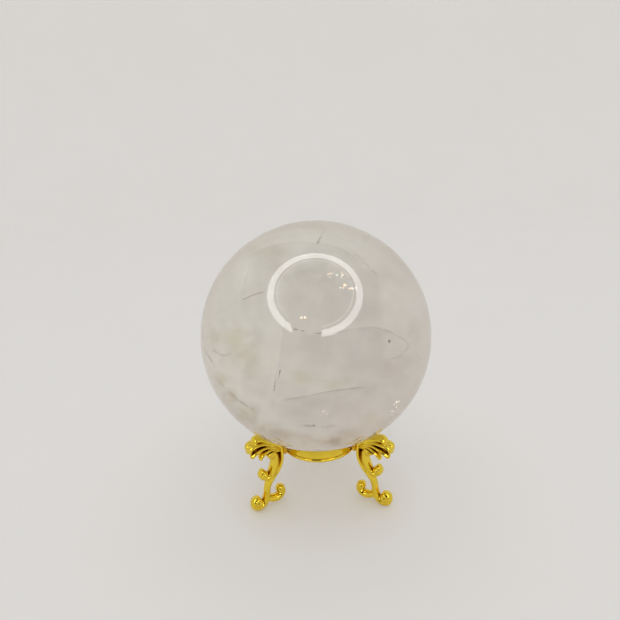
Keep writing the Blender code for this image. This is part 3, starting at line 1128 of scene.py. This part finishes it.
def add_sweep():
    """A pale floor that curves up into a round wall, so that all views have the same ground."""
    outline = [(0.0, 0.0), (0.1, 0.0), (0.3, 0.0), (FLOOR_RADIUS, 0.0)]
    for step in range(1, BEND_STEPS + 1):
        angle = math.radians(90 * step / BEND_STEPS)
        radius = FLOOR_RADIUS + FLOOR_BEND * math.sin(angle)
        outline.append((radius, FLOOR_BEND * (1 - math.cos(angle))))
    outline.append((FLOOR_RADIUS + FLOOR_BEND, WALL_TOP))
    bm = bmesh.new()
    spin_outline(bm, outline, closed=False, steps=SWEEP_STEPS, weld=1e-6)
    mesh = sheet_from(bm, "sweep")
    mesh.shade_smooth()
    add_object("sweep", mesh, sweep_material())


def show_in_mirrors_only(obj):
    obj.visible_camera = False
    obj.visible_diffuse = False
    obj.visible_transmission = False


def add_ring_light(name, middle, half_band, strength):
    """A flat band of light that faces the ball, with the ring light's gap at its bottom."""
    side = Vector((1, 0, 0))
    up = RING_LIGHT_AIM.cross(side)
    centre = BALL_CENTRE + RING_LIGHT_AIM * RING_LIGHT_DISTANCE
    bm = bmesh.new()
    rows = []
    for step in range(RING_LIGHT_STEPS + 1):
        row = []
        for radius in (middle - half_band, middle + half_band):
            first = -math.acos(RING_LIGHT_GAP[1] / radius)
            last = 2 * math.pi - math.acos(RING_LIGHT_GAP[0] / radius)
            angle = first + (last - first) * step / RING_LIGHT_STEPS
            heading = side * math.cos(angle) + up * math.sin(angle)
            row.append(bm.verts.new(centre + radius * heading))
        rows.append(row)
    for near, far in zip(rows, rows[1:]):
        bm.faces.new((near[0], near[1], far[1], far[0]))
    ring = add_object(name, sheet_from(bm, name), lamp_material(name, strength))
    show_in_mirrors_only(ring)


def add_dim_disc(name, centre, radius, facing):
    """A dim shape beyond the camera, which casts no shadow."""
    bm = bmesh.new()
    bmesh.ops.create_circle(bm, cap_ends=True, segments=64, radius=1.0)
    disc = add_object(name, sheet_from(bm, name), dim_material(name))
    turn = facing.to_track_quat("Z", "Y").to_matrix().to_4x4()
    disc.matrix_world = Matrix.Translation(centre) @ turn @ Matrix.Scale(radius, 4)
    show_in_mirrors_only(disc)
    disc.visible_shadow = False


def add_mirrored_room():
    """The ring light and its thin inner rim, the dim room in front and the ring light's holder."""
    add_ring_light("ring_light", RING_LIGHT_RADIUS, RING_LIGHT_HALF_BAND, RING_LIGHT_STRENGTH)
    add_ring_light("ring_light_rim", LIGHT_RIM_RADIUS, LIGHT_RIM_HALF_BAND, LIGHT_RIM_STRENGTH)
    add_dim_disc("dim_room", DIM_ROOM_PLACE, DIM_ROOM_RADIUS, Vector((0, 1, 0)))
    holder = BALL_CENTRE + RING_LIGHT_AIM * (RING_LIGHT_DISTANCE + HOLDER_SETBACK)
    add_dim_disc("dim_holder", holder, HOLDER_RADIUS, -RING_LIGHT_AIM)


def add_soft_box():
    """A broad soft light from above the front, which isn't mirrored."""
    light = bpy.data.objects.new("soft_box", bpy.data.lights.new("soft_box", "AREA"))
    light.data.shape = "DISK"
    light.data.size = SOFT_BOX_SIZE
    light.data.energy = SOFT_BOX_POWER
    light.location = SOFT_BOX_PLACE
    light.rotation_euler = (BALL_CENTRE - SOFT_BOX_PLACE).to_track_quat("-Z", "Y").to_euler()
    light.visible_glossy = False
    light.visible_transmission = False
    bpy.context.scene.collection.objects.link(light)


def set_world():
    world = bpy.data.worlds.new("studio")
    bpy.context.scene.world = world
    world.use_nodes = True
    background = world.node_tree.nodes["Background"]
    background.inputs["Color"].default_value = (*WORLD_COLOUR, 1)
    background.inputs["Strength"].default_value = WORLD_STRENGTH


def main():
    bpy.context.scene.view_settings.view_transform = "Standard"
    add_camera()
    add_sweep()
    add_mirrored_room()
    set_world()
    add_soft_box()
    gold = gilt("gilt_metal", GOLD, GOLD_ROUGHNESS)
    for name, angle in LEG_ANGLES.items():
        make_leg(name, angle, gold)
    make_ring(gold)
    solder = gilt("gilt_solder", SOLDER, SOLDER_ROUGHNESS)
    for name, angle in LEG_ANGLES.items():
        make_solder(name.removeprefix("leg_"), angle, solder)
    make_ball()
    make_veils()
    make_patches()
    make_cracks()
    make_flakes_and_specks()


main()
